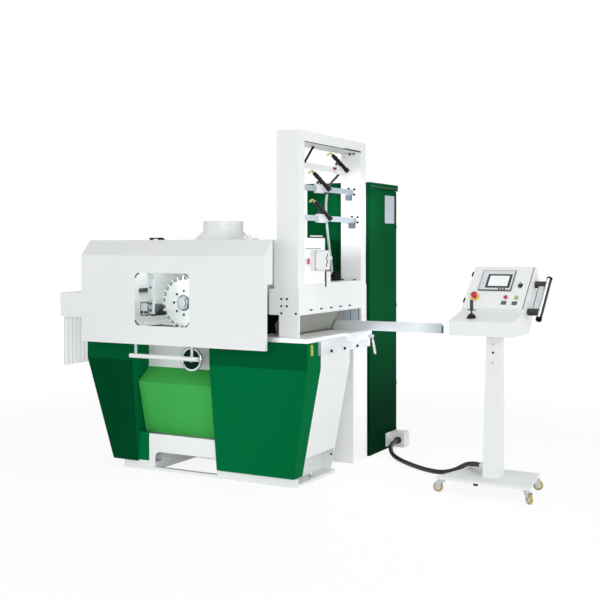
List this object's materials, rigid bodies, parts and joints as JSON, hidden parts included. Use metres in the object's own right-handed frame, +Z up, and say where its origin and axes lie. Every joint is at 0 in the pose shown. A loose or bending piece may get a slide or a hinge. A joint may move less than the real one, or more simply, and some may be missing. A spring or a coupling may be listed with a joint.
{
  "type": "multi-rip saw",
  "caption": "Chain-fed multi-rip saw for timber with hinged hood, kickback fingers, laser portal, electrical cabinet and a cabled console on casters.",
  "frame": {"origin": "on the floor, in the middle of the four anchor-bolt holes", "axes": "+X towards the infeed side and the console, +Y towards the rear, +Z up"},
  "size_m": [3.0745, 1.702, 2.16],
  "materials": {
    "white_paint": "satin",
    "dark_green_paint": "gloss",
    "light_green_paint": "satin",
    "table_steel": "ground",
    "machined_steel": "turned",
    "finger_steel": "laser-cut",
    "cast_iron_black": "as cast",
    "motor_paint": "satin",
    "hand_chrome": "polished",
    "belt_rubber": "matte",
    "cable_sheath": "matte",
    "clear_pane": "clear",
    "curtain_vinyl": "translucent",
    "black_plastic": "fine grain",
    "red_plastic": "gloss",
    "green_plastic": "gloss",
    "caster_zinc": "zinc plated",
    "caster_tread": "polyurethane",
    "laser_body": "black anodised",
    "rail_aluminium": "anodised",
    "gear_grey": "satin",
    "box_grey": "satin"
  },
  "bodies": {
    "machine": {"base_frame": "white_paint", "base_panel_left": "dark_green_paint", "base_panel_right": "dark_green_paint", "service_cover": "light_green_paint", "rear_columns": "white_paint", "bed": "table_steel", "infeed_table": "table_steel", "fence_rail": "white_paint", "throat_frame": "white_paint", "saw_chamber": "white_paint", "dust_port": "white_paint", "outfeed_guard": "white_paint", "arbor_housing": "cast_iron_black", "main_motor": "motor_paint", "drive_belts": "belt_rubber", "feed_chain": "cast_iron_black", "feed_gearmotor": "gear_grey", "lift_guides": "machined_steel", "tower_frame": "white_paint", "laser_rails": "rail_aluminium", "portal_cable": "cable_sheath", "cabinet_body": "dark_green_paint", "junction_box": "box_grey", "pedestal_stand": "white_paint", "console_body": "white_paint", "side_handle": "hand_chrome", "console_cable": "cable_sheath"},
    "hood": {"hood": "white_paint", "hood_window": "clear_pane", "hood_handle": "white_paint"},
    "curtain": {"curtain_strips": "curtain_vinyl"},
    "fingers": {"kickback_fingers": "finger_steel"},
    "arbor": {"arbor_shaft": "machined_steel", "saw_blades": "machined_steel"},
    "motor_rotor": {"motor_pulley": "cast_iron_black"},
    "chain_drive": {"chain_drive_shaft": "machined_steel"},
    "chain_idler": {"chain_idler_shaft": "machined_steel"},
    "pressure_beam": {"pressure_beam": "white_paint"},
    "infeed_roller": {"infeed_roller": "machined_steel"},
    "outfeed_roller": {"outfeed_roller": "machined_steel"},
    "handwheel": {"handwheel": "hand_chrome"},
    "fence": {"fence": "table_steel"},
    "fence_lever": {"fence_lever": "black_plastic"},
    "laser_middle": {"laser_middle": "laser_body"},
    "laser_lower": {"laser_lower": "laser_body"},
    "cabinet_door": {"cabinet_door": "dark_green_paint"},
    "console_panel": {"console_panel": "white_paint"},
    "emergency_stop": {"emergency_stop": "red_plastic"},
    "start_button": {"start_button": "green_plastic"},
    "stop_button": {"stop_button": "red_plastic"},
    "selector_knob": {"selector_knob": "black_plastic"},
    "joystick": {"joystick": "black_plastic"},
    "caster_fork_1": {"caster_fork_1": "caster_zinc"},
    "caster_wheel_1": {"caster_wheel_1": "caster_tread"},
    "caster_fork_2": {"caster_fork_2": "caster_zinc"},
    "caster_wheel_2": {"caster_wheel_2": "caster_tread"},
    "caster_fork_3": {"caster_fork_3": "caster_zinc"},
    "caster_wheel_3": {"caster_wheel_3": "caster_tread"},
    "caster_fork_4": {"caster_fork_4": "caster_zinc"},
    "caster_wheel_4": {"caster_wheel_4": "caster_tread"}
  },
  "joints": [
    {"name": "hood_lift", "type": "hinge", "parent": "machine", "child": "hood", "pos_m": [0, -0.553, 1.503], "axis": [-1, 0, 0], "range_deg": [0, 70]},
    {"name": "curtain_swing", "type": "hinge", "parent": "machine", "child": "curtain", "pos_m": [-1.047, 0, 1.01], "axis": [0, 1, 0], "range_deg": [-15, 40]},
    {"name": "finger_swing", "type": "hinge", "parent": "machine", "child": "fingers", "pos_m": [0.575, 0, 1.062], "axis": [0, 1, 0], "range_deg": [0, 38]},
    {"name": "arbor_spin", "type": "hinge", "parent": "machine", "child": "arbor", "pos_m": [-0.263, 0, 1.085], "axis": [0, 1, 0], "continuous": true},
    {"name": "motor_spin", "type": "hinge", "parent": "machine", "child": "motor_rotor", "pos_m": [-0.263, 0, 0.52], "axis": [0, 1, 0], "continuous": true},
    {"name": "chain_drive_spin", "type": "hinge", "parent": "machine", "child": "chain_drive", "pos_m": [-0.644, 0, 0.831], "axis": [0, 1, 0], "continuous": true},
    {"name": "chain_idler_spin", "type": "hinge", "parent": "machine", "child": "chain_idler", "pos_m": [0.304, 0, 0.831], "axis": [0, 1, 0], "continuous": true},
    {"name": "pressure_lift", "type": "slide", "parent": "machine", "child": "pressure_beam", "axis": [0, 0, 1], "range_m": [-0.045, 0.02]},
    {"name": "handwheel_turn", "type": "hinge", "parent": "machine", "child": "handwheel", "pos_m": [-0.111, 0, 0.738], "axis": [0, -1, 0], "range_deg": [-815, 365]},
    {"name": "infeed_roller_spin", "type": "hinge", "parent": "pressure_beam", "child": "infeed_roller", "pos_m": [-0.04, 0, 1.033], "axis": [0, 1, 0], "continuous": true},
    {"name": "outfeed_roller_spin", "type": "hinge", "parent": "pressure_beam", "child": "outfeed_roller", "pos_m": [-0.49, 0, 1.033], "axis": [0, 1, 0], "continuous": true},
    {"name": "fence_slide", "type": "slide", "parent": "machine", "child": "fence", "axis": [0, 1, 0], "range_m": [-0.34, 0.04]},
    {"name": "fence_lever_turn", "type": "hinge", "parent": "fence", "child": "fence_lever", "pos_m": [0.8043, 0.208, 0.8685], "axis": [1, 0, 0], "range_deg": [-70, 10]},
    {"name": "laser_middle_slide", "type": "slide", "parent": "machine", "child": "laser_middle", "axis": [0, 1, 0], "range_m": [-0.26, 0.1]},
    {"name": "laser_lower_slide", "type": "slide", "parent": "machine", "child": "laser_lower", "axis": [0, 1, 0], "range_m": [-0.23, 0.15]},
    {"name": "cabinet_door_swing", "type": "hinge", "parent": "machine", "child": "cabinet_door", "pos_m": [0.628, 1.047, 0], "axis": [0, 0, 1], "range_deg": [0, 110]},
    {"name": "console_panel_open", "type": "hinge", "parent": "machine", "child": "console_panel", "pos_m": [1.488, 0.03089, 1.07138], "axis": [0, -0.7293, -0.6842], "range_deg": [0, 95]},
    {"name": "emergency_stop_press", "type": "slide", "parent": "console_panel", "child": "emergency_stop", "axis": [0, 0.6842, -0.7293], "range_m": [0, 0.005], "stiffness_N_per_m": 1500, "springref_m": -0.003},
    {"name": "start_button_press", "type": "slide", "parent": "console_panel", "child": "start_button", "axis": [0, 0.6842, -0.7293], "range_m": [0, 0.003], "stiffness_N_per_m": 1200, "springref_m": -0.003},
    {"name": "stop_button_press", "type": "slide", "parent": "console_panel", "child": "stop_button", "axis": [0, 0.6842, -0.7293], "range_m": [0, 0.003], "stiffness_N_per_m": 1200, "springref_m": -0.003},
    {"name": "selector_turn", "type": "hinge", "parent": "console_panel", "child": "selector_knob", "pos_m": [1.815, 0.17411, 1.21396], "axis": [0, -0.6842, 0.7293], "range_deg": [-45, 45]},
    {"name": "joystick_tilt", "type": "hinge", "parent": "machine", "child": "joystick", "pos_m": [1.602, -0.11, 1.05413], "axis": [1, 0, 0], "range_deg": [-18, 18], "stiffness_Nm_per_rad": 1.5},
    {"name": "caster_swivel_1", "type": "hinge", "parent": "machine", "child": "caster_fork_1", "pos_m": [1.441, -0.172, 0], "axis": [0, 0, 1], "continuous": true},
    {"name": "caster_roll_1", "type": "hinge", "parent": "caster_fork_1", "child": "caster_wheel_1", "pos_m": [1.417, -0.172, 0.03], "axis": [0, -1, 0], "continuous": true},
    {"name": "caster_swivel_2", "type": "hinge", "parent": "machine", "child": "caster_fork_2", "pos_m": [1.957, -0.2, 0], "axis": [0, 0, 1], "continuous": true},
    {"name": "caster_roll_2", "type": "hinge", "parent": "caster_fork_2", "child": "caster_wheel_2", "pos_m": [1.97538, -0.21543, 0.03], "axis": [0.6428, 0.766, 0], "continuous": true},
    {"name": "caster_swivel_3", "type": "hinge", "parent": "machine", "child": "caster_fork_3", "pos_m": [1.906, 0.14, 0], "axis": [0, 0, 1], "continuous": true},
    {"name": "caster_roll_3", "type": "hinge", "parent": "caster_fork_3", "child": "caster_wheel_3", "pos_m": [1.92963, 0.14417, 0.03], "axis": [-0.1736, 0.9848, 0], "continuous": true},
    {"name": "caster_swivel_4", "type": "hinge", "parent": "machine", "child": "caster_fork_4", "pos_m": [1.541, 0.148, 0], "axis": [0, 0, 1], "continuous": true},
    {"name": "caster_roll_4", "type": "hinge", "parent": "caster_fork_4", "child": "caster_wheel_4", "pos_m": [1.529, 0.16878, 0.03], "axis": [-0.866, -0.5, 0], "continuous": true}
  ],
  "couplings": [
    {"joint": "motor_spin", "follows": "arbor_spin", "ratio": 1},
    {"joint": "chain_idler_spin", "follows": "chain_drive_spin", "ratio": 1},
    {"joint": "handwheel_turn", "follows": "pressure_lift", "rad_per_m": 314.16}
  ]
}
